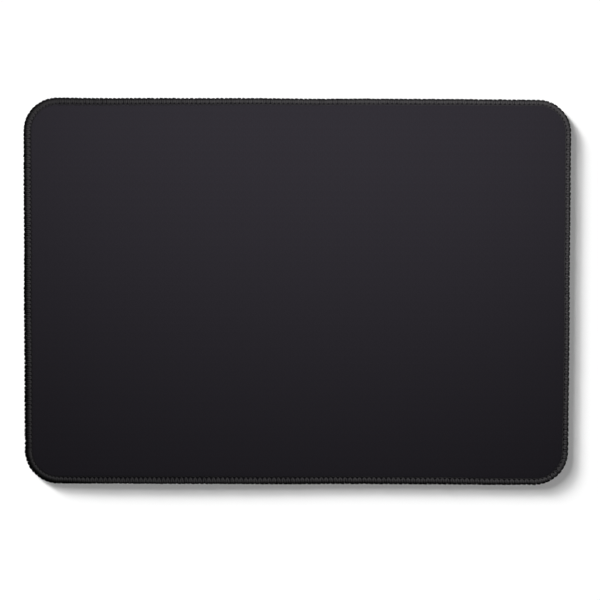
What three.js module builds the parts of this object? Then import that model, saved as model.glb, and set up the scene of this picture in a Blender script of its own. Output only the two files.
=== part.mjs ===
// A cloth mouse pad with an overlocked edge: three bonded layers, and the three threads that bind their rim.
// Millimetres, +Z up, +X along the width. The origin is under the middle of the pad, on the desk.
import * as THREE from "three";

// The finished pad, measured over its stitched edge.
const padWidth = 350;
const padDepth = 248;
const cornerRadius = 21.5;

// The bonded layers, from the top down.
const clothThickness = 0.45;
const filmThickness = 0.1;
const foamThickness = 2.45;

// The overlock seam. Insets are measured inwards from the finished edge.
const stitchPitch = 2.95;
const needleLineInset = 4.4;
const threadLay = 0.6; // thickness of the laid thread outside the layers' cut edge
const needleLinePinch = 0.4; // how far thread tension draws each face in at the needle line
const grooveWidth = 0.8; // the slope from the flat face down to the needle line
const loopHeight = 0.25; // the crest of the loops above the cloth
const loopRelief = 0.2; // the valleys between neighbouring loops
const needleThreadDiameter = 0.3;
const seatClearance = 0.1; // between the threads and what they lie on

// The finish of each piece.
const wovenCloth = { color: 0x29272b, roughness: 0.9 };
const adhesiveFilm = { color: 0x8f8d86, roughness: 0.5 };
const rubberFoam = { color: 0x1b1b1c, roughness: 0.8 };
const upperThread = { color: 0x3a3a3b, roughness: 0.85 };
const lowerThread = { color: 0x343435, roughness: 0.85 };
const needleThread = { color: 0x2e2e2f, roughness: 0.85 };

// How finely curves are divided.
const cornerSteps = 12;
const needleThreadSides = 6;
const seatSideSteps = 12; // divisions of each straight side where a coarse ring meets the stitches

// Heights and insets that follow from the sizes above.
const padThickness = foamThickness + filmThickness + clothThickness;
const filmTop = foamThickness + filmThickness;
const cutEdgePinch = threadLay; // the foam gives way, so the thread below lies flush with the underside
const flatInset = needleLineInset + grooveWidth;
const crestInset = (needleLineInset + threadLay) / 2;
const seatInset = threadLay - seatClearance;
const splitHeight = padThickness / 2; // where the upper and lower threads meet on the edge
const turnInset = threadLay * (1 - Math.SQRT1_2); // halfway round the thread's turn over the cut edge
const turnRise = threadLay * Math.SQRT1_2;

// The finished outline as four straight sides, each followed by a corner, going anticlockwise from the right.
const cornerLength = (cornerRadius * Math.PI) / 2;
const sides = [0, 1, 2, 3].map((turn) => {
  const alongWidth = turn % 2 === 1;
  return {
    facing: (turn * Math.PI) / 2,
    reach: (alongWidth ? padDepth : padWidth) / 2,
    length: (alongWidth ? padWidth : padDepth) - 2 * cornerRadius,
  };
});
const perimeter = sides.reduce((sum, side) => sum + side.length + cornerLength, 0);

// The outline's point and outward normal after walking a distance round it.
function stationAt(walked) {
  let along = walked;
  for (const side of sides) {
    const normal = new THREE.Vector2(Math.cos(side.facing), Math.sin(side.facing));
    const tangent = new THREE.Vector2(-normal.y, normal.x);
    if (along <= side.length) {
      const point = normal.clone().multiplyScalar(side.reach);
      point.addScaledVector(tangent, along - side.length / 2);
      return { walked, point, normal };
    }
    along -= side.length;
    if (along < cornerLength) {
      const angle = side.facing + along / cornerRadius;
      const outward = new THREE.Vector2(Math.cos(angle), Math.sin(angle));
      const point = normal.clone().multiplyScalar(side.reach - cornerRadius);
      point.addScaledVector(tangent, side.length / 2);
      point.addScaledVector(outward, cornerRadius);
      return { walked, point, normal: outward };
    }
    along -= cornerLength;
  }
  throw new RangeError("the distance is longer than the outline");
}

// Stations along each straight side and round each corner.
function outlineStations(sideSteps) {
  const stations = [];
  let start = 0;
  for (const side of sides) {
    for (let step = 0; step < sideSteps; step += 1) {
      stations.push(stationAt(start + (side.length * step) / sideSteps));
    }
    for (let step = 0; step < cornerSteps; step += 1) {
      stations.push(stationAt(start + side.length + (cornerLength * step) / cornerSteps));
    }
    start += side.length + cornerLength;
  }
  return stations;
}

// Two stations a stitch, evenly spaced: a ridge on the loop, then the valley after it.
const stitchCount = Math.round(perimeter / stitchPitch);
const stitchStations = [];
for (let half = 0; half < 2 * stitchCount; half += 1) {
  stitchStations.push(stationAt((perimeter * half) / (2 * stitchCount)));
}
const plainStations = outlineStations(1);
const seatStations = outlineStations(seatSideSteps);

// A closed ring of points at one inset and height.
function ring(stations, inset, height) {
  return stations.map(({ walked, point, normal }) => {
    const place = point.clone().addScaledVector(normal, -inset);
    return { walked, position: new THREE.Vector3(place.x, place.y, height) };
  });
}

// A ring that follows the loops: in the valleys it draws back from the ridges by an inset and a drop.
function loopRing(inset, height, valleyInset, valleyDrop) {
  const ridges = ring(stitchStations, inset, height);
  const valleys = ring(stitchStations, inset + valleyInset, height - valleyDrop);
  return ridges.map((ridge, index) => (index % 2 === 0 ? ridge : valleys[index]));
}

// Gathers triangles from rings, and gives them as a geometry.
class SolidBuilder {
  constructor() {
    this.positions = [];
  }

  addTriangle(a, b, c) {
    for (const corner of [a, b, c]) {
      this.positions.push(corner.x, corner.y, corner.z);
    }
  }

  // The strip between two rings, whose counts may differ. It faces up where the second ring is the outer one.
  join(first, second) {
    const cornerOf = (points, index) => points[index % points.length].position;
    const walkedAt = (points, index) =>
      points[index % points.length].walked + perimeter * Math.floor(index / points.length);
    let i = 0;
    let j = 0;
    while (i < first.length || j < second.length) {
      const a = cornerOf(first, i);
      const b = cornerOf(second, j);
      const firstIsNext = walkedAt(first, i + 1) <= walkedAt(second, j + 1);
      if (j === second.length || (i < first.length && firstIsNext)) {
        this.addTriangle(a, b, cornerOf(first, i + 1));
        i += 1;
      } else {
        this.addTriangle(a, b, cornerOf(second, j + 1));
        j += 1;
      }
    }
  }

  // The flat face inside a ring, looking up or down.
  cap(points, facesUp) {
    const contour = points.map(({ position }) => new THREE.Vector2(position.x, position.y));
    for (const [a, b, c] of THREE.ShapeUtils.triangulateShape(contour, [])) {
      const corners = [a, b, c].map((index) => points[index].position);
      this.addTriangle(...(facesUp ? corners : corners.reverse()));
    }
  }

  geometry() {
    const geometry = new THREE.BufferGeometry();
    geometry.setAttribute("position", new THREE.Float32BufferAttribute(this.positions, 3));
    geometry.computeVertexNormals();
    return geometry;
  }
}

// A sheet: flat middles above and below, joined by the rings of its rim from the top round to the bottom.
function sheetGeometry(rings) {
  const builder = new SolidBuilder();
  builder.cap(rings[0], true);
  for (let index = 1; index < rings.length; index += 1) {
    builder.join(rings[index - 1], rings[index]);
  }
  builder.cap(rings[rings.length - 1], false);
  return builder.geometry();
}

// A band that closes on itself round the pad. Its section runs outwards over the top and back underneath.
function bandGeometry(rings) {
  const builder = new SolidBuilder();
  rings.forEach((from, index) => builder.join(from, rings[(index + 1) % rings.length]));
  return builder.geometry();
}

// A face of a layer as three rings: flat, drawn in along the needle line, and drawn in most at the cut edge.
function layerFace(height, needleLineDrop, cutEdgeDrop) {
  return [
    ring(plainStations, flatInset, height),
    ring(plainStations, needleLineInset, height - needleLineDrop),
    ring(plainStations, threadLay, height - cutEdgeDrop),
  ];
}

// The faces between the layers keep their distance from the top, so only the foam gets thinner at the rim.
function layerGeometry(top, bottom) {
  return sheetGeometry([...top, ...bottom.slice().reverse()]);
}

const clothTopFace = layerFace(padThickness, needleLinePinch, cutEdgePinch);
const filmTopFace = layerFace(filmTop, needleLinePinch, cutEdgePinch);
const foamTopFace = layerFace(foamThickness, needleLinePinch, cutEdgePinch);
const undersideFace = layerFace(0, -needleLinePinch, -cutEdgePinch);

// The upper looper's thread: loops from the needle line over the cloth and down to the middle of the edge.
function upperLooperGeometry() {
  const splitUpper = splitHeight + seatClearance / 2;
  const cutEdgeTop = padThickness - cutEdgePinch;
  const turnRelief = loopRelief * Math.SQRT1_2;
  return bandGeometry([
    ring(stitchStations, needleLineInset, padThickness - needleLinePinch + seatClearance),
    loopRing(crestInset, padThickness + loopHeight, 0, loopRelief),
    loopRing(turnInset, cutEdgeTop + turnRise, turnRelief, turnRelief),
    loopRing(0, splitUpper, loopRelief, 0),
    ring(seatStations, seatInset, splitUpper),
    ring(seatStations, seatInset, cutEdgeTop + seatClearance),
  ]);
}

// The lower looper's thread: from the needle line under the foam and up to the middle of the edge.
function lowerLooperGeometry() {
  const splitLower = splitHeight - seatClearance / 2;
  return bandGeometry([
    ring(plainStations, needleLineInset, needleLinePinch - seatClearance),
    ring(plainStations, seatInset, cutEdgePinch - seatClearance),
    ring(plainStations, seatInset, splitLower),
    ring(plainStations, 0, splitLower),
    ring(plainStations, 0, threadLay),
    ring(plainStations, turnInset, threadLay - turnRise),
    ring(plainStations, threadLay, 0),
    ring(plainStations, needleLineInset, 0),
  ]);
}

// The needle's thread: laid along the slope of the groove, just inside the loops.
function needleThreadGeometry() {
  const radius = needleThreadDiameter / 2;
  const slope = new THREE.Vector2(grooveWidth, needleLinePinch).normalize();
  const stand = radius + seatClearance;
  const middleInset = needleLineInset + grooveWidth / 2 - slope.y * stand;
  const middleHeight = padThickness - needleLinePinch / 2 + slope.x * stand;
  const rings = [];
  for (let side = 0; side < needleThreadSides; side += 1) {
    const angle = (2 * Math.PI * side) / needleThreadSides;
    const inset = middleInset - radius * Math.cos(angle);
    rings.push(ring(plainStations, inset, middleHeight - radius * Math.sin(angle)));
  }
  return bandGeometry(rings);
}

function addPiece(group, name, geometry, finish) {
  const mesh = new THREE.Mesh(geometry, new THREE.MeshStandardMaterial({ ...finish, metalness: 0 }));
  mesh.name = name;
  group.add(mesh);
}

const mousePad = new THREE.Group();
addPiece(mousePad, "surface_cloth", layerGeometry(clothTopFace, filmTopFace), wovenCloth);
addPiece(mousePad, "bonding_film", layerGeometry(filmTopFace, foamTopFace), adhesiveFilm);
addPiece(mousePad, "foam_base", layerGeometry(foamTopFace, undersideFace), rubberFoam);
addPiece(mousePad, "upper_looper_thread", upperLooperGeometry(), upperThread);
addPiece(mousePad, "lower_looper_thread", lowerLooperGeometry(), lowerThread);
addPiece(mousePad, "needle_thread", needleThreadGeometry(), needleThread);

export default mousePad;
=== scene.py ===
# A black cloth mouse pad with an overlocked edge, dressed over its CAD frame. Metres, +Z up.
import math
import bpy
import numpy as np
from mathutils import Matrix, Vector


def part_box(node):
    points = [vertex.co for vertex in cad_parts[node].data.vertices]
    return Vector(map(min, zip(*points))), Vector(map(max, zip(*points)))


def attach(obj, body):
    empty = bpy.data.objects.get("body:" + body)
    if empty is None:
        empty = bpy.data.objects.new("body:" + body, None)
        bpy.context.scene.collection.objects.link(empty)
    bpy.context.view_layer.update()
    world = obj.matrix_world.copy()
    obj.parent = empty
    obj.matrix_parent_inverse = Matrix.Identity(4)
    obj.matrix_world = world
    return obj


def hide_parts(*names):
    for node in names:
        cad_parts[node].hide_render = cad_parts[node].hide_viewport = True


MM = 0.001

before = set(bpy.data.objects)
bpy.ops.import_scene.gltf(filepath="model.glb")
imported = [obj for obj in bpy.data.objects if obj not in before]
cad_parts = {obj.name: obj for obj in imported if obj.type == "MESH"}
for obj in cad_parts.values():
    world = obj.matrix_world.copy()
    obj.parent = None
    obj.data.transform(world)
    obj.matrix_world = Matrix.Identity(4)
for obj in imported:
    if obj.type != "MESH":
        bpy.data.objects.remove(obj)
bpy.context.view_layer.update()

# Sizes taken from the frame
SEAM_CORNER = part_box("upper_looper_thread")[1]
CLOTH_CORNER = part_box("surface_cloth")[1]
HALF_SIZE = np.array([SEAM_CORNER[0], SEAM_CORNER[1]])
PAD_TOP = CLOTH_CORNER[2]
FILM_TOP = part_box("bonding_film")[1][2]
FOAM_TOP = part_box("foam_base")[1][2]
CUT_INSET = SEAM_CORNER[0] - CLOTH_CORNER[0]

# Sizes of the stitched edge. An inset is measured inwards from the finished edge. A distance walked goes
# anticlockwise round it from the foot of the right side.
CORNER_RADIUS = 21.5 * MM
STITCH_PITCH = 2.95 * MM
PITCH_SWING = 0.1  # how much longer than the pitch the longest stitches are, as a share of it
LONGEST_STITCHES_AT = 40 * MM
STITCH_JITTER = 0.06 * MM
NEEDLE_INSET = 4.4 * MM
FIELD_INSET = 10 * MM  # where the flat middle of each layer begins
CLOTH_STATIONS = 8  # for each stitch, round the rim of the cloth
HIDDEN_STATIONS = 2  # for each stitch, round the rims of the film and the foam

# Slow wander of the edge: cycles round the pad, reach and phase. It fades out between two insets.
WANDER_WAVES = [(3, 0.07 * MM, 3.8), (4, 0.06 * MM, 3.5), (9, 0.08 * MM, 2.1), (17, 0.06 * MM, 4.0)]
WANDER_FADE = (5 * MM, 9 * MM)
# The seam's width round the pad: distances walked, and shares of the full width
SEAM_WALKED = np.array([36, 102, 170, 290, 390, 490, 613, 680, 750, 866, 970, 1070]) * MM
SEAM_SHARES = np.array([0.77, 0.75, 0.77, 0.84, 0.9, 0.97, 1.07, 1.06, 1.07, 1.0, 1.06, 1.02])
# How far inwards the seam's crest strays along the left side, and outwards past its near corner
CREST_WALKED = np.array([600, 680, 750, 810, 845, 880, 930, 980]) * MM
CREST_STRAYS = np.array([0.0, 0.3, 0.65, 0.7, -0.6, -0.9, -0.6, 0.0]) * MM

# The corners' middles, and how long the straight sides and the corners of the outline are
CORE = HALF_SIZE - CORNER_RADIUS
CORNER_LENGTH = CORNER_RADIUS * math.pi / 2
SIDE_LENGTHS = [2 * CORE[1], 2 * CORE[0], 2 * CORE[1], 2 * CORE[0]]
SIDE_STARTS = np.cumsum([0] + [length + CORNER_LENGTH for length in SIDE_LENGTHS])
PERIMETER = SIDE_STARTS[-1]
ANGLE_SLACK = 1e-6  # keeps points at the start of a side from counting as the end of the last one

# The map for baking, on which all stitches share one place, and so do all patches of weave
BAKE_MAP = "OFBake"


def side_axes(turn):
    """The outward and the anticlockwise direction of one of the four sides."""
    outward = np.round([math.cos(turn * math.pi / 2), math.sin(turn * math.pi / 2)])
    return outward, np.array([-outward[1], outward[0]])


def outline(walked):
    """Points of the finished outline and their outward normals, after walking given distances."""
    walked = np.mod(walked, PERIMETER)
    points = np.zeros(walked.shape + (2,))
    normals = np.zeros(walked.shape + (2,))
    for turn, length in enumerate(SIDE_LENGTHS):
        outward, along = side_axes(turn)
        run = walked - SIDE_STARTS[turn]
        here = (run >= 0) & (run < length + CORNER_LENGTH)
        straight = np.minimum(run[here], length) - length / 2
        angle = turn * math.pi / 2 + np.maximum(run[here] - length, 0) / CORNER_RADIUS
        normal = np.stack([np.cos(angle), np.sin(angle)], axis=-1)
        middle = outward * (CORE * np.abs(outward)).sum() + straight[:, None] * along
        points[here] = middle + normal * CORNER_RADIUS
        normals[here] = normal
    return points, normals


def walked_at(points):
    """How far round the outline each point of an inner ring lies."""
    core = np.clip(points, -CORE, CORE)
    offset = points - core
    angle = np.mod(np.arctan2(offset[:, 1], offset[:, 0]) + ANGLE_SLACK, 2 * math.pi)
    walked = np.zeros(len(points))
    for turn, length in enumerate(SIDE_LENGTHS):
        along = side_axes(turn)[1]
        past = angle - turn * math.pi / 2
        here = (past >= 0) & (past < math.pi / 2)
        straight = core[here] @ along + length / 2
        walked[here] = SIDE_STARTS[turn] + straight + past[here] * CORNER_RADIUS
    return walked


def seam_points(walked, inset, height):
    """Places round the seam, whose wander, width and crest change slowly and fade out on the flat cloth."""
    lap = walked * 2 * math.pi / PERIMETER
    stray = sum(reach * np.sin(cycles * lap + phase) for cycles, reach, phase in WANDER_WAVES)
    widen = np.interp(walked, SEAM_WALKED, SEAM_SHARES, period=PERIMETER) - 1
    # The crest lies halfway between the edge and the needle line, which both stay where they are
    share = np.clip(inset / NEEDLE_INSET, 0, 1)
    crest = np.interp(walked, CREST_WALKED, CREST_STRAYS, period=PERIMETER) * 4 * share * (1 - share)
    fade = np.interp(inset, WANDER_FADE, (1, 0))
    points, normals = outline(walked)
    places = points - normals * (inset + fade * (stray + widen * inset + crest))[..., None]
    return np.concatenate([places, np.broadcast_to(height, walked.shape)[..., None]], axis=-1)


def smooth_loop(knots, steps):
    """A smooth closed curve through knots whose first column, the distance walked, grows lap by lap."""
    lap = np.zeros(knots.shape[1])
    lap[0] = PERIMETER
    around = np.concatenate([knots[-1:] - lap, knots, knots[:2] + lap])
    before, start, end, after = (around[i:i + len(knots)] for i in range(4))
    rows = []
    # A cubic from each knot to the next, with slopes taken from the knots on either side
    for step in range(steps):
        t = step / steps
        linear = (end - before) * t
        square = (2 * before - 5 * start + 4 * end - after) * t ** 2
        cube = (3 * start - before - 3 * end + after) * t ** 3
        rows.append(start + (linear + square + cube) / 2)
    return np.stack(rows, axis=1).reshape(-1, knots.shape[1])


def unit(vectors):
    """Vectors in the same directions with a length of 1."""
    return vectors / np.linalg.norm(vectors, axis=1, keepdims=True)


class MeshBuilder:
    """Gathers points and faces, and makes them into a piece of the pad."""

    def __init__(self):
        self.points = []
        self.faces = []

    def add(self, points):
        """Takes in points, and gives their numbers."""
        start = sum(len(batch) for batch in self.points)
        self.points.append(points)
        return np.arange(start, start + len(points))

    def strip(self, first, second):
        """Quads between two closed rings of one count, facing up where the second ring is the outer one."""
        quads = np.stack([first, second, np.roll(second, -1), np.roll(first, -1)], axis=1)
        self.faces.extend(quads.tolist())

    def weave(self, first, first_walked, second, second_walked):
        """Triangles between two closed rings of different counts, in the order they are met going round."""
        first_order = np.argsort(first_walked)
        second_order = np.argsort(second_walked)
        first, second = first[first_order].tolist(), second[second_order].tolist()
        first_at = np.append(np.sort(first_walked), PERIMETER).tolist()
        second_at = np.append(np.sort(second_walked), PERIMETER).tolist()
        i, j = 0, 0
        while i < len(first) or j < len(second):
            a, b = first[i % len(first)], second[j % len(second)]
            take_first = j == len(second) or (i < len(first) and first_at[i + 1] <= second_at[j + 1])
            if take_first:
                i += 1
                self.faces.append((a, b, first[i % len(first)]))
            else:
                j += 1
                self.faces.append((a, b, second[j % len(second)]))

    def grid(self, ids, facing_up):
        """Quads over rows and columns of points."""
        corners = [ids[:-1, :-1], ids[:-1, 1:], ids[1:, 1:], ids[1:, :-1]]
        quads = np.stack(corners if facing_up else corners[::-1], axis=-1).reshape(-1, 4)
        self.faces.extend(quads.tolist())

    def tube(self, ids):
        """Quads round a tube that closes on itself, from the rows of its rings."""
        ahead = np.roll(ids, -1, axis=0)
        corners = [ids, ahead, np.roll(ahead, -1, axis=1), np.roll(ids, -1, axis=1)]
        self.faces.extend(np.stack(corners, axis=-1).reshape(-1, 4).tolist())

    def make(self, name):
        """The piece, smooth all over."""
        mesh = bpy.data.meshes.new(name)
        mesh.from_pydata(np.concatenate(self.points).tolist(), [], self.faces)
        mesh.polygons.foreach_set("use_smooth", [True] * len(mesh.polygons))
        mesh.update()
        piece = bpy.data.objects.new(name, mesh)
        bpy.context.scene.collection.objects.link(piece)
        return piece


# Stitches round the edge

WALK_SAMPLES = 4001
rng = np.random.default_rng(seed=7)


def stitch_starts():
    """The distances walked to each needle hole. Stitches are longest along the right side."""
    walk = np.linspace(0, PERIMETER, WALK_SAMPLES)
    phase = 2 * math.pi * (walk - LONGEST_STITCHES_AT) / PERIMETER
    density = 1 / (STITCH_PITCH * (1 + PITCH_SWING * np.cos(phase)))
    counted = np.concatenate([[0], np.cumsum((density[1:] + density[:-1]) / 2 * np.diff(walk))])
    count = round(counted[-1])
    holes = np.interp(np.arange(count) / count * counted[-1], counted, walk)
    return holes + rng.normal(0, STITCH_JITTER, count)


HOLES = stitch_starts()
STITCHES = len(HOLES)
STITCH_LENGTHS = np.diff(np.append(HOLES, HOLES[0] + PERIMETER))


def stitch_stations(per_stitch):
    """Distances walked, and how far each is from one needle hole to the next."""
    phase = np.arange(per_stitch) / per_stitch
    walked = HOLES[:, None] + STITCH_LENGTHS[:, None] * phase
    return walked.ravel(), np.tile(phase, STITCHES)


# Threads

# Columns of a thread's knots: share of the stitch, inset, height, facing in degrees from straight up
# towards straight out, half width and half thickness. Lengths are in millimetres. The return half of each
# loop mirrors the outward half, and passes behind it where the threads lock together on the edge.
ALONG, INSET, HEIGHT, FACING, HALF_WIDTH, HALF_THICKNESS = range(6)
UPPER_LOOP = np.array([
    (0.00, 4.50, 2.50, -34, 0.24, 0.16),
    (0.09, 3.85, 2.66, -30, 0.34, 0.17),
    (0.20, 3.20, 2.99, -22, 0.57, 0.19),
    (0.25, 2.45, 3.13, -3, 0.73, 0.20),
    (0.25, 1.65, 2.95, 22, 0.76, 0.20),
    (0.26, 0.90, 2.48, 43, 0.76, 0.20),
    (0.29, 0.30, 1.78, 66, 0.70, 0.20),
    (0.39, 0.02, 1.18, 88, 0.52, 0.19),
])
LOWER_LOOP = np.array([
    (0.00, 4.55, 0.38, 200, 0.34, 0.17),
    (0.14, 3.80, 0.26, 188, 0.50, 0.18),
    (0.23, 2.95, 0.21, 180, 0.66, 0.20),
    (0.25, 1.50, 0.21, 175, 0.72, 0.20),
    (0.25, 0.85, 0.36, 148, 0.74, 0.20),
    (0.26, 0.42, 0.68, 118, 0.74, 0.20),
    (0.30, 0.24, 1.05, 95, 0.64, 0.19),
    (0.40, 0.18, 1.42, 90, 0.48, 0.18),
])
NEEDLE_STITCH = np.array([
    (0.00, 4.45, 1.80, 0, 0.16, 0.16),
    (0.16, 4.52, 2.64, 0, 0.17, 0.17),
    (0.38, 4.60, 2.88, 0, 0.18, 0.18),
    (0.62, 4.60, 2.88, 0, 0.18, 0.18),
    (0.84, 4.52, 2.64, 0, 0.17, 0.17),
])
LOCK_SHIFT = 0.2  # millimetres between the two halves of a loop where the threads lock
LOCKED_KNOTS = 2
# Differences from stitch to stitch: insets in millimetres, and widths as shares
INSET_JITTER = 0.06
HEAD_JITTER = 0.12  # of the loop's head alone
WIDTH_JITTER = 0.07
THREAD_LEAN = math.radians(11)  # how far a strand tips to one side or the other
# How finely threads are divided between knots and round
LOOPER_DETAIL = dict(steps=2, sides=8)
NEEDLE_DETAIL = dict(steps=3, sides=6)


def whole_loop(half, lock_shift):
    """The outward half of a loop, from its head to the edge, and its mirrored return."""
    back = half[:0:-1].copy()
    back[:, ALONG] = 1 - back[:, ALONG]
    back[:LOCKED_KNOTS, INSET] += lock_shift
    return np.concatenate([half, back])


def thread_knots(pattern):
    """Every stitch's knots in one run, in metres and radians, with a last column for the lean."""
    knots = np.tile(pattern, (STITCHES, 1, 1))
    knots[:, :, ALONG] = HOLES[:, None] + STITCH_LENGTHS[:, None] * pattern[:, ALONG]
    knots[:, :, INSET] += rng.normal(0, INSET_JITTER, STITCHES)[:, None]
    knots[:, 0, INSET] += rng.normal(0, HEAD_JITTER, STITCHES)
    knots[:, :, HALF_WIDTH] *= rng.normal(1, WIDTH_JITTER, STITCHES)[:, None]
    knots[:, :, [INSET, HEIGHT, HALF_WIDTH, HALF_THICKNESS]] *= MM
    knots[:, :, FACING] = np.radians(knots[:, :, FACING])
    out_knots = len(pattern) // 2
    lean = rng.normal(0, THREAD_LEAN, (STITCHES, 2))
    lean = np.repeat(lean, (out_knots, len(pattern) - out_knots), axis=1)
    return np.concatenate([knots, lean[..., None]], axis=2).reshape(-1, pattern.shape[1] + 1)


def thread_rings(path, sides):
    """Rings of points round a flattened thread that follows a path of knots."""
    walked, inset, height, facing, half_width, half_thickness, lean = path.T
    centres = seam_points(walked, inset, height)
    outward = outline(walked)[1] * np.sin(facing)[:, None]
    face = np.concatenate([outward, np.cos(facing)[:, None]], axis=1)
    ahead = unit(np.roll(centres, -1, axis=0) - np.roll(centres, 1, axis=0))
    across = unit(np.cross(ahead, face))
    up = np.cross(across, ahead)
    tip, stand = np.sin(lean)[:, None], np.cos(lean)[:, None]
    across, up = across * stand + up * tip, up * stand - across * tip
    angle = 2 * math.pi * np.arange(sides) / sides
    rings = (centres[:, None]
             + across[:, None] * (half_width[:, None] * np.cos(angle))[..., None]
             + up[:, None] * (half_thickness[:, None] * np.sin(angle))[..., None])
    # The desk presses the lowest strands flat
    rings[..., 2] = np.maximum(rings[..., 2], 0)
    return rings


def map_thread(piece, ring_count, sides):
    """Maps every stitch alike: along the thread one way and round it the other."""
    per_stitch = ring_count // STITCHES
    ring, side = np.meshgrid(np.arange(ring_count) % per_stitch, np.arange(sides), indexing="ij")
    along = np.stack([ring, ring + 1, ring + 1, ring], axis=-1) / per_stitch
    around = np.stack([side, side, side + 1, side + 1], axis=-1) / sides
    places = np.stack([along, around], axis=-1)
    piece.data.uv_layers.new(name=BAKE_MAP).data.foreach_set("uv", places.ravel())


def thread_piece(name, pattern, steps, sides):
    """A thread as a flattened tube along all of its stitches."""
    rings = thread_rings(smooth_loop(thread_knots(pattern), steps), sides)
    builder = MeshBuilder()
    builder.tube(builder.add(rings.reshape(-1, 3)).reshape(-1, sides))
    piece = builder.make(name)
    map_thread(piece, len(rings), sides)
    return piece


# Bonded layers

# Insets and drops of the cloth's face, from the flat field to the cut edge, in millimetres
FACE_PROFILE = np.array([
    (9.0, 0.0), (6.4, 0.0), (5.2, 0.0), (4.95, 0.01), (4.82, 0.06), (4.7, 0.25), (4.45, 0.5),
    (4.1, 0.57), (3.55, 0.4), (2.95, 0.18), (2.4, 0.1), (1.7, 0.32), (1.0, 0.78), (0.6, 1.15),
]) * MM
# The faces below it follow fewer of these points
HIDDEN_PROFILE = FACE_PROFILE[[0, 3, 6, 9, 13]]
# The film stops short of the cut edge
FILM_EDGE = CUT_INSET + 0.5 * MM
FILM_EDGE_DROP = np.interp(FILM_EDGE, HIDDEN_PROFILE[::-1, 0], HIDDEN_PROFILE[::-1, 1])
FILM_PROFILE = np.vstack([HIDDEN_PROFILE[:-1], (FILM_EDGE, FILM_EDGE_DROP)])
# The underside is drawn up towards the edge
UNDER_PROFILE = np.array([
    (9.0, 0.0), (5.6, 0.0), (5.0, -0.12), (4.4, -0.42),
    (3.4, -0.46), (1.6, -0.46), (1.0, -0.6), (0.6, -0.75),
]) * MM
PLAIN_FIELD = dict(column_spacing=4.4 * MM, row_spacing=4.4 * MM, rows_per_corner=6)

# The needle holes, and painted shade on the cloth beside them, in the gaps between the loops' heads where
# the loops shade the cloth
HOLE_DEPTH = 0.3 * MM
HOLE_RADIUS = 0.42 * MM
# Name of the mark that carries the painted shade on the cloth
PAINTED_SHADE_MARK = "painted_shade"
PAINTED_SHADE_INSET = 3.5 * MM
PAINTED_SHADE_WIDTH = 0.5 * MM
PAINTED_SHADE_STRENGTHS = (0.6, 1.0)  # painted shade of the lightest and the darkest stitch
PAINTED_SHADE_SHARPNESS = 4  # how quickly the painted shade fades towards the loops' heads


def hole_dip(phase, inset):
    """How far the cloth is drawn down round each needle hole."""
    from_hole = np.minimum(phase, 1 - phase) * STITCH_PITCH
    distance = np.hypot(from_hole, inset - NEEDLE_INSET)
    return HOLE_DEPTH * np.exp(-(distance / HOLE_RADIUS) ** 2)


def mark_painted_shade(piece, rings):
    """Marks how much painted shade each point of the cloth gets beside the needle line, where the loops'
    heads shade it.
    """
    shade_strength = np.zeros(len(piece.data.vertices))
    phase = stitch_stations(CLOTH_STATIONS)[1]
    # Painted shade is strongest between the needle holes and differs from stitch to stitch
    between_holes = np.sin(math.pi * phase) ** PAINTED_SHADE_SHARPNESS
    along = np.repeat(rng.uniform(*PAINTED_SHADE_STRENGTHS, STITCHES), CLOTH_STATIONS) * between_holes
    for ids, inset in zip(rings, FACE_PROFILE[:, 0]):
        shade_strength[ids] = along * np.exp(-((inset - PAINTED_SHADE_INSET) / PAINTED_SHADE_WIDTH) ** 2)
    piece.data.attributes.new(PAINTED_SHADE_MARK, "FLOAT", "POINT").data.foreach_set("value", shade_strength)


def field_rows(rows_per_corner, row_spacing):
    """The flat field's rows across the pad, closest where the corners turn, and half its width at each."""
    radius = CORNER_RADIUS - FIELD_INSET
    angle = np.linspace(math.pi / 2, 0, rows_per_corner + 1)
    corner_y = CORE[1] + radius * np.sin(angle)
    corner_x = CORE[0] + radius * np.cos(angle)
    count = max(1, round(2 * CORE[1] / row_spacing))
    straight_y = np.linspace(CORE[1], -CORE[1], count + 1)[1:-1]
    straight_x = np.full(len(straight_y), CORE[0] + radius)
    rows = np.concatenate([corner_y, straight_y, -corner_y[::-1]])
    widths = np.concatenate([corner_x, straight_x, corner_x[::-1]])
    return rows[::-1], widths[::-1]


def add_field(builder, height, facing_up, column_spacing, row_spacing, rows_per_corner, relief=None):
    """The flat middle of a face as a grid, and its boundary ring."""
    rows, widths = field_rows(rows_per_corner, row_spacing)
    columns = max(2, round(2 * HALF_SIZE[0] / column_spacing))
    share = np.linspace(-1, 1, columns + 1)
    x = widths[:, None] * share
    y = np.broadcast_to(rows[:, None], x.shape)
    z = np.full(x.shape, height)
    if relief is not None:
        z = z + relief(x, y)
    ids = builder.add(np.stack([x, y, z], axis=-1).reshape(-1, 3)).reshape(x.shape)
    builder.grid(ids, facing_up)
    boundary = np.concatenate([ids[:-1, -1], ids[-1, ::-1], ids[-2::-1, 0], ids[0, 1:-1]])
    places = np.stack([x, y], axis=-1).reshape(-1, 2)[boundary - ids[0, 0]]
    return boundary, walked_at(places)


def add_rim(builder, profile, face_height, stations, dips):
    """Rings of a face's rim, from the flat field out to the cut edge."""
    walked, phase = stations
    rings = []
    for inset, drop in profile:
        inset_here = np.full(len(walked), inset)
        dip = hole_dip(phase, inset) if dips else 0
        rings.append(builder.add(seam_points(walked, inset_here, face_height - drop - dip)))
    return rings


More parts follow.
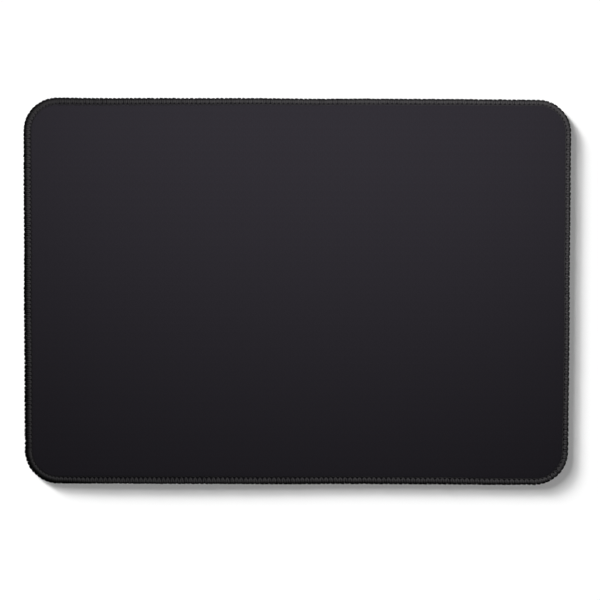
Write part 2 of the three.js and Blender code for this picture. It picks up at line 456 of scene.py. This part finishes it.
def layer_piece(name, top, top_profile, bottom, low_profile, per_stitch, dips=False, low_field=PLAIN_FIELD):
    """One bonded layer between the heights of its faces, and the rings of its upper face."""
    builder = MeshBuilder()
    stations = stitch_stations(per_stitch)
    walked = np.mod(stations[0], PERIMETER)
    top_rings = add_rim(builder, top_profile, top, stations, dips)
    low_rings = add_rim(builder, low_profile, bottom, stations, dips)
    rings = top_rings + low_rings[::-1]
    for inner, outer in zip(rings, rings[1:]):
        builder.strip(inner, outer)
    field, field_walked = add_field(builder, top, True, **PLAIN_FIELD)
    builder.weave(field, field_walked, top_rings[0], walked)
    field, field_walked = add_field(builder, bottom, False, **low_field)
    builder.weave(low_rings[0], walked, field, field_walked)
    return builder.make(name), top_rings


# The cloth's weave. Its pattern repeats after a few threads, so flat faces can share one tile of a map.
CLOTH_WEAVE = 0.42 * MM
WEAVE_REPEAT = 12 * CLOTH_WEAVE
# Shares of the map's width: two repeats of the face, two of the hidden side, and the rim of one stitch
FACE_SHARE = 0.75
HIDDEN_FROM, HIDDEN_SHARE = 0.78, 0.2
RIM_FROM, RIM_SHARE = 0.8, 0.18
FLAT_STRIPS = 2  # strips of the rim that lie flat


def read_vectors(items, key):
    """A property of every item of a mesh that has three numbers each."""
    values = np.zeros(3 * len(items))
    items.foreach_get(key, values)
    return values.reshape(-1, 3)


def read_counts(items, key):
    """A property of every item of a mesh that has one whole number each."""
    values = np.zeros(len(items), dtype=np.int32)
    items.foreach_get(key, values)
    return values


def map_cloth(piece, strips):
    """Lays flat faces over a tile of the weave, and the rim, with its groove and painted shade, over the
    rim of one stitch.
    """
    mesh = piece.data
    corners = read_vectors(mesh.vertices, "co")[read_counts(mesh.loops, "vertex_index"), :2]
    starts = read_counts(mesh.polygons, "loop_start")
    totals = read_counts(mesh.polygons, "loop_total")
    lowest = np.minimum.reduceat(corners, starts, axis=0)
    origin = np.floor(lowest / WEAVE_REPEAT) * WEAVE_REPEAT
    tile = (corners - np.repeat(origin, totals, axis=0)) / (2 * WEAVE_REPEAT)
    faces_up = np.repeat(read_vectors(mesh.polygons, "normal")[:, 2] > 0, totals)
    places = np.where(faces_up[:, None], tile * FACE_SHARE, (0, HIDDEN_FROM) + tile * HIDDEN_SHARE)
    per_ring = STITCHES * CLOTH_STATIONS
    ring, station = np.meshgrid(np.arange(FLAT_STRIPS, strips), np.arange(per_ring), indexing="ij")
    step = station % CLOTH_STATIONS
    along = np.stack([step, step, step + 1, step + 1], axis=-1) / CLOTH_STATIONS
    outward = np.stack([ring, ring + 1, ring + 1, ring], axis=-1) / strips
    rim = np.stack([RIM_FROM + along * RIM_SHARE, outward], axis=-1).reshape(-1, 2)
    strip_corners = 4 * per_ring  # a strip has one quad for each station
    places[FLAT_STRIPS * strip_corners:strips * strip_corners] = rim
    mesh.uv_layers.new(name=BAKE_MAP).data.foreach_set("uv", places.ravel())


# Embossed waves of the non-slip underside
WAVE_PITCH = 4.2 * MM
WAVE_LENGTH = 18 * MM
WAVE_REACH = 1.6 * MM
WAVE_DEPTH = 0.22 * MM
WAVE_STEEPNESS = 1.6  # above 1, ribs and grooves have flat stretches between their slopes
WAVE_FADE = 2 * MM


def underside_relief(x, y):
    """Grooves between wavy ribs. The ribs stay on the desk, and the relief fades at the field's edge."""
    across = (y + WAVE_REACH * np.sin(2 * math.pi * x / WAVE_LENGTH)) / WAVE_PITCH
    groove = np.clip(np.sin(2 * math.pi * across) * WAVE_STEEPNESS, -1, 1) * 0.5 + 0.5
    inside = np.minimum(HALF_SIZE[0] - FIELD_INSET - np.abs(x), HALF_SIZE[1] - FIELD_INSET - np.abs(y))
    return WAVE_DEPTH * groove * np.clip(inside / WAVE_FADE, 0, 1)


RIBBED_FIELD = dict(column_spacing=2 * MM, row_spacing=0.6 * MM, rows_per_corner=20,
                    relief=underside_relief)


# Materials

class Nodes:
    """Short calls for building a material's nodes. A value is a number or the output of a node."""

    def __init__(self, name):
        self.material = bpy.data.materials.new(name)
        self.material.use_nodes = True
        self.tree = self.material.node_tree
        self.shader = self.tree.nodes["Principled BSDF"]

    def add(self, kind, **settings):
        """A new node with some of its settings changed."""
        node = self.tree.nodes.new(kind)
        for key, value in settings.items():
            setattr(node, key, value)
        return node

    def link(self, source, target):
        """Feeds the output of one node to the input of another."""
        self.tree.links.new(source, target)

    def split(self, vector):
        """The first two parts of a vector."""
        node = self.add("ShaderNodeSeparateXYZ")
        self.link(vector, node.inputs["Vector"])
        return node.outputs["X"], node.outputs["Y"]

    def object_place(self):
        """Where a point lies in the piece's own frame."""
        return self.add("ShaderNodeTexCoord").outputs["Object"]

    def compute(self, operation, *values):
        """The outcome of one operation on values."""
        node = self.add("ShaderNodeMath", operation=operation)
        for socket, value in zip(node.inputs, values):
            if isinstance(value, bpy.types.NodeSocket):
                self.link(value, socket)
            else:
                socket.default_value = value
        return node.outputs[0]

    def weighted(self, first, first_weight, second, second_weight):
        """Two values, each times its weight, added together."""
        weighted_second = self.compute("MULTIPLY", second, second_weight)
        return self.compute("MULTIPLY_ADD", first, first_weight, weighted_second)

    def widened(self, value, times):
        """A value that strays from its middle, 0.5, by so many times as much."""
        return self.compute("MULTIPLY_ADD", self.compute("SUBTRACT", value, 0.5), times, 0.5)

    def noise(self, vector, scale, detail):
        """Cloudy noise from 0 to 1."""
        node = self.add("ShaderNodeTexNoise")
        node.inputs["Scale"].default_value = scale
        node.inputs["Detail"].default_value = detail
        self.link(vector, node.inputs["Vector"])
        return node.outputs["Fac"]

    def repeating_noise(self, x, y, period, cells):
        """Noise over a plane that repeats after a period both ways, with so many cells in each period."""
        x_turn = self.compute("MULTIPLY", x, 2 * math.pi / period)
        y_turn = self.compute("MULTIPLY", y, 2 * math.pi / period)
        place = self.add("ShaderNodeCombineXYZ")
        self.link(self.compute("COSINE", x_turn), place.inputs["X"])
        self.link(self.compute("SINE", x_turn), place.inputs["Y"])
        self.link(self.compute("COSINE", y_turn), place.inputs["Z"])
        node = self.add("ShaderNodeTexNoise", noise_dimensions="4D")
        node.inputs["Scale"].default_value = cells / (2 * math.pi)
        self.link(place.outputs["Vector"], node.inputs["Vector"])
        self.link(self.compute("SINE", y_turn), node.inputs["W"])
        return node.outputs["Fac"]

    def ramp(self, factor, low, high):
        """A colour from low to high as factor goes from 0 to 1."""
        node = self.add("ShaderNodeMix", data_type="RGBA")
        node.inputs["A"].default_value = (*low, 1)
        node.inputs["B"].default_value = (*high, 1)
        self.link(factor, node.inputs["Factor"])
        return node.outputs["Result"]

    def blend(self, factor, colour, other):
        """A colour that turns into another as factor goes from 0 to 1."""
        node = self.add("ShaderNodeMix", data_type="RGBA")
        self.link(colour, node.inputs["A"])
        node.inputs["B"].default_value = (*other, 1)
        self.link(factor, node.inputs["Factor"])
        return node.outputs["Result"]

    def paint(self, colour):
        """Gives the shader its base colour."""
        self.link(colour, self.shader.inputs["Base Color"])

    def bump(self, height, strength, distance):
        """Gives the shader a fine relief."""
        node = self.add("ShaderNodeBump")
        node.inputs["Strength"].default_value = strength
        node.inputs["Distance"].default_value = distance
        self.link(height, node.inputs["Height"])
        self.link(node.outputs["Normal"], self.shader.inputs["Normal"])

    def set(self, **values):
        """Gives the shader uniform values."""
        for key, value in values.items():
            self.shader.inputs[key.replace("_", " ")].default_value = value


FUZZ_CELLS = 6  # in each repeat of the weave
FUZZ_SPREAD = 2.0
FUZZ_HEIGHT = 0.4  # beside the weave's own height
# Painted shade for the cloth beside the needle line, between the loops' heads
PAINTED_SHADE_COLOUR = (0.002, 0.002, 0.0022)


def cloth_material():
    """Fine plain weave, in which each thread goes over one and under the next, with some fuzz, and painted
    shade beside the needle line.
    """
    nodes = Nodes("woven_cloth")
    x, y = nodes.split(nodes.object_place())
    waves = 2 * math.pi / CLOTH_WEAVE
    over = nodes.compute("SINE", nodes.compute("MULTIPLY", x, waves))
    under = nodes.compute("SINE", nodes.compute("MULTIPLY", y, waves))
    weave = nodes.compute("MULTIPLY_ADD", nodes.compute("MULTIPLY", over, under), 0.5, 0.5)
    fuzz = nodes.widened(nodes.repeating_noise(x, y, WEAVE_REPEAT, FUZZ_CELLS), FUZZ_SPREAD)
    shade = nodes.weighted(weave, 0.5, fuzz, 0.5)
    woven = nodes.ramp(shade, low=(0.0165, 0.0150, 0.0189), high=(0.0241, 0.0220, 0.0277))
    # Painted shade darkens the cloth where the loops' heads shade it
    painted_shade = nodes.add("ShaderNodeAttribute", attribute_name=PAINTED_SHADE_MARK).outputs["Fac"]
    nodes.paint(nodes.blend(painted_shade, woven, PAINTED_SHADE_COLOUR))
    nodes.bump(nodes.weighted(weave, 1.0, fuzz, FUZZ_HEIGHT), strength=0.25, distance=0.06 * MM)
    nodes.set(Roughness=0.9, Specular_IOR_Level=0.02)
    return nodes.material


# The grain of the threads, counted along one stitch and round the thread
CRIMPS_ALONG = 9.0
FILAMENTS_ROUND = 34.0
FILAMENTS_ALONG = 5.0
FILAMENT_SPREAD = 2.5
PLIES_ALONG = 14
PLIES_ROUND = 2
GRAIN_LEAST = 0.7  # how light the darkest grain is, as a share
GRAIN_RANGE = 0.6
# How light the thread is painted, from 0 to 1, by its share of the way round a loop: painted shade darkens
# it towards the lock on the edge and a little at the loop's head
LOOP_SHADE_LEVELS = [(0.0, 0.75), (0.1, 1.0), (0.2, 1.0), (0.267, 0.55), (0.333, 0.08), (0.4, 0.0)]
# The needle thread gets no painted shade
NEEDLE_SHADE_LEVELS = [(0.0, 1.0), (1.0, 1.0)]


def bulked_filaments(nodes, along, around):
    """Fine crimped filaments that run along the thread."""
    place = nodes.add("ShaderNodeCombineXYZ")
    nodes.link(nodes.compute("MULTIPLY", along, CRIMPS_ALONG), place.inputs["X"])
    nodes.link(nodes.weighted(around, FILAMENTS_ROUND, along, FILAMENTS_ALONG), place.inputs["Y"])
    return nodes.widened(nodes.noise(place.outputs["Vector"], scale=1.0, detail=1.0), FILAMENT_SPREAD)


def twisted_plies(nodes, along, around):
    """Plies that wind round the thread."""
    turn = nodes.weighted(along, 2 * math.pi * PLIES_ALONG, around, 2 * math.pi * PLIES_ROUND)
    return nodes.compute("MULTIPLY_ADD", nodes.compute("SINE", turn), 0.5, 0.5)


def thread_material(name, grain_of, shade_levels, shade_colour, unshaded_colour):
    """Thread with a grain, and painted shade that darkens it by its share of the way round a loop."""
    nodes = Nodes(name)
    along, around = nodes.split(nodes.add("ShaderNodeUVMap", uv_map=BAKE_MAP).outputs["UV"])
    grain = grain_of(nodes, along, around)
    # Share of the way from the loop's head, at 0, to the lock on the edge, at 0.5
    from_lock = nodes.compute("ABSOLUTE", nodes.compute("SUBTRACT", along, 0.5))
    reach = nodes.compute("SUBTRACT", 0.5, from_lock)
    # Painted shade along the loop, darkest towards the lock on the edge
    shade_ramp = nodes.add("ShaderNodeValToRGB")
    shade_ramp.color_ramp.interpolation = "EASE"
    stops = shade_ramp.color_ramp.elements
    for stop, (position, level) in zip(list(stops), shade_levels):
        stop.position = position
        stop.color = (level, level, level, 1)
    for position, level in shade_levels[2:]:
        stops.new(position).color = (level, level, level, 1)
    nodes.link(reach, shade_ramp.inputs["Fac"])
    grain_shade = nodes.compute("MULTIPLY_ADD", grain, GRAIN_RANGE, GRAIN_LEAST)
    shade = nodes.compute("MULTIPLY", shade_ramp.outputs["Color"], grain_shade)
    nodes.paint(nodes.ramp(shade, low=shade_colour, high=unshaded_colour))
    nodes.bump(grain, strength=0.6, distance=0.06 * MM)
    nodes.set(Roughness=0.7, Specular_IOR_Level=0.0)
    return nodes.material


FOAM_PORE = 0.8 * MM
FOAM_CLOUD = 12 * MM


def foam_material():
    """Foamed rubber with fine pores and faint clouds."""
    nodes = Nodes("foamed_rubber")
    place = nodes.object_place()
    pores = nodes.add("ShaderNodeTexVoronoi")
    pores.inputs["Scale"].default_value = 1 / FOAM_PORE
    nodes.link(place, pores.inputs["Vector"])
    pore_depth = pores.outputs["Distance"]
    cloud = nodes.noise(place, scale=1 / FOAM_CLOUD, detail=2.0)
    shade = nodes.weighted(pore_depth, 0.5, cloud, 0.5)
    nodes.paint(nodes.ramp(shade, low=(0.009, 0.009, 0.0095), high=(0.018, 0.018, 0.019)))
    nodes.bump(pore_depth, strength=0.3, distance=0.08 * MM)
    nodes.set(Roughness=0.75, Specular_IOR_Level=0.05)
    return nodes.material


FILM_MOTTLE = 3 * MM


def film_material():
    """Milky adhesive film with a faint mottle."""
    nodes = Nodes("adhesive_film")
    mottle = nodes.noise(nodes.object_place(), scale=1 / FILM_MOTTLE, detail=3.0)
    nodes.paint(nodes.ramp(mottle, low=(0.34, 0.33, 0.29), high=(0.48, 0.47, 0.42)))
    nodes.bump(mottle, strength=0.1, distance=0.05 * MM)
    nodes.set(Roughness=0.45)
    return nodes.material


# Pieces of the pad

def dress(piece, node, material):
    """Rides a piece on the pad in place of its CAD node."""
    piece.data.materials.append(material)
    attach(piece, "root")
    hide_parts(node)


# Each thread's darkest colour, under painted shade and dark grain, and its colour without painted shade
looper_finish = thread_material("looper_thread", bulked_filaments, LOOP_SHADE_LEVELS,
                                shade_colour=(0.0081, 0.0079, 0.0084), unshaded_colour=(0.0513, 0.0493, 0.0515))
needle_finish = thread_material("needle_thread", twisted_plies, NEEDLE_SHADE_LEVELS,
                                shade_colour=(0.0122, 0.0118, 0.0124), unshaded_colour=(0.0408, 0.0393, 0.0412))

upper_loops = thread_piece("upper_loops", whole_loop(UPPER_LOOP, LOCK_SHIFT), **LOOPER_DETAIL)
dress(upper_loops, "upper_looper_thread", looper_finish)
lower_loops = thread_piece("lower_loops", whole_loop(LOWER_LOOP, -LOCK_SHIFT), **LOOPER_DETAIL)
dress(lower_loops, "lower_looper_thread", looper_finish)
needle_stitches = thread_piece("needle_stitches", NEEDLE_STITCH, **NEEDLE_DETAIL)
dress(needle_stitches, "needle_thread", needle_finish)

foam, _ = layer_piece("foam_layer", FOAM_TOP, HIDDEN_PROFILE, 0, UNDER_PROFILE, HIDDEN_STATIONS,
                      low_field=RIBBED_FIELD)
dress(foam, "foam_base", foam_material())

film, _ = layer_piece("film_layer", FILM_TOP, FILM_PROFILE, FOAM_TOP, FILM_PROFILE, HIDDEN_STATIONS)
dress(film, "bonding_film", film_material())

cloth, face_rings = layer_piece("face_cloth", PAD_TOP, FACE_PROFILE, FILM_TOP, HIDDEN_PROFILE,
                                CLOTH_STATIONS, dips=True)
mark_painted_shade(cloth, face_rings)
map_cloth(cloth, strips=len(FACE_PROFILE) + len(HIDDEN_PROFILE) - 1)
dress(cloth, "surface_cloth", cloth_material())

# Floor

FLOOR_SIZE = 6.0
FLOOR_GAP = 0.02 * MM
FLOOR_COLOUR = (0.9, 0.9, 0.9, 1)
FLOOR_BOUNCE = (0.15, 0.15, 0.15, 1)  # the floor throws little light back up at the pad

bpy.ops.mesh.primitive_plane_add(size=FLOOR_SIZE, location=(0, 0, -FLOOR_GAP))
floor = bpy.context.object
floor.name = "floor"
floor_paint = Nodes("pale_floor")
floor_paint.set(Base_Color=FLOOR_COLOUR, Roughness=1.0, Specular_IOR_Level=0.0)
dim_floor = floor_paint.add("ShaderNodeBsdfDiffuse")
dim_floor.inputs["Color"].default_value = FLOOR_BOUNCE
floor_choice = floor_paint.add("ShaderNodeMixShader")
floor_rays = floor_paint.add("ShaderNodeLightPath")
floor_paint.link(floor_rays.outputs["Is Diffuse Ray"], floor_choice.inputs["Fac"])
floor_paint.link(floor_paint.shader.outputs["BSDF"], floor_choice.inputs[1])
floor_paint.link(dim_floor.outputs["BSDF"], floor_choice.inputs[2])
floor_output = floor_paint.tree.nodes["Material Output"]
floor_paint.link(floor_choice.outputs["Shader"], floor_output.inputs["Surface"])
floor.data.materials.append(floor_paint.material)

# Camera: above the pad, leaning back a little, with a long lens

CAMERA_LENS = 180.0
CAMERA_TILT = math.radians(4.26)
CAMERA_PAN = math.radians(-0.03)
CAMERA_ROLL = math.radians(-0.199)
PAD_FROM_CAMERA = Vector((-2.07, 5.06, -1927.0)) * MM

pad_turn = (Matrix.Rotation(CAMERA_TILT, 3, "X") @ Matrix.Rotation(CAMERA_PAN, 3, "Y")
            @ Matrix.Rotation(CAMERA_ROLL, 3, "Z"))
camera_turn = pad_turn.transposed()
camera_data = bpy.data.cameras.new("camera")
camera_data.lens = CAMERA_LENS
camera = bpy.data.objects.new("camera", camera_data)
bpy.context.scene.collection.objects.link(camera)
camera.matrix_world = Matrix.Translation(camera_turn @ -PAD_FROM_CAMERA) @ camera_turn.to_4x4()
bpy.context.scene.camera = camera

# Lights: softboxes over the pad, one for its layers and three for its threads, and suns for the floor

threads = [upper_loops, lower_loops, needle_stitches]
layers = [foam, film, cloth]
SOFTBOXES = [
    # name, what it lights, place, width, height, watts
    ("cloth_softbox", layers, (0.01, 0.145, 0.2), 0.5, 0.25, 1.37),
    ("thread_softbox", threads, (0.2, 0.15, 0.4), 0.2, 0.2, 0.76),
    ("thread_right_softbox", threads, (0.4, 0.05, 0.2), 0.2, 0.2, 1.0),
    ("thread_top_softbox", threads, (0.05, 0.35, 0.2), 0.2, 0.2, 1.4),
]
SHADOW_SLOPE = math.radians(12)  # of the light that draws the pad's shadow, from the far left
SHADOW_FROM = (-1, 1, math.sqrt(2) * math.tan(SHADOW_SLOPE))
OVERHEAD = (0, 0, 1)
FLOOR_SUNS = [
    # name, where it comes from, strength, size in degrees
    ("floor_key", SHADOW_FROM, 5.4, 8),
    ("floor_soft_key", SHADOW_FROM, 7.75, 32),
    ("floor_fill", OVERHEAD, 0.86, 20),
]
FILL_STRENGTH = 0.03
WHITE = (1, 1, 1, 1)


def add_light(name, kind, place, receivers, **settings):
    """A light that looks at the middle of the pad and lights only its receivers."""
    data = bpy.data.lights.new(name, kind)
    for key, value in settings.items():
        setattr(data, key, value)
    light = bpy.data.objects.new(name, data)
    bpy.context.scene.collection.objects.link(light)
    light.location = place
    light.rotation_euler = (-Vector(place)).to_track_quat("-Z", "Y").to_euler()
    group = bpy.data.collections.new(name + "_receivers")
    for receiver in receivers:
        group.objects.link(receiver)
    light.light_linking.receiver_collection = group


for name, receivers, place, width, height, watts in SOFTBOXES:
    add_light(name, "AREA", place, receivers, energy=watts, shape="RECTANGLE", size=width, size_y=height)
for name, place, strength, degrees in FLOOR_SUNS:
    add_light(name, "SUN", place, [floor], energy=strength, angle=math.radians(degrees))

# World: plain white to look at, directly or in a reflection, and a faint fill light for the pad

world = bpy.data.worlds.new("studio")
bpy.context.scene.world = world
world.use_nodes = True
sky = world.node_tree


def either(first, second):
    """The larger of two outputs of the sky's nodes."""
    node = sky.nodes.new("ShaderNodeMath")
    node.operation = "MAXIMUM"
    sky.links.new(first, node.inputs[0])
    sky.links.new(second, node.inputs[1])
    return node.outputs[0]


fill_light = sky.nodes["Background"]
fill_light.inputs["Color"].default_value = WHITE
fill_light.inputs["Strength"].default_value = FILL_STRENGTH
backdrop = sky.nodes.new("ShaderNodeBackground")
backdrop.inputs["Color"].default_value = WHITE
rays = sky.nodes.new("ShaderNodeLightPath")
seen = either(rays.outputs["Is Camera Ray"], rays.outputs["Is Glossy Ray"])
seen = either(seen, rays.outputs["Is Transmission Ray"])
choose = sky.nodes.new("ShaderNodeMixShader")
sky.links.new(seen, choose.inputs["Fac"])
sky.links.new(fill_light.outputs[0], choose.inputs[1])
sky.links.new(backdrop.outputs[0], choose.inputs[2])
sky.links.new(choose.outputs[0], sky.nodes["World Output"].inputs["Surface"])

bpy.context.scene.view_settings.view_transform = "Standard"
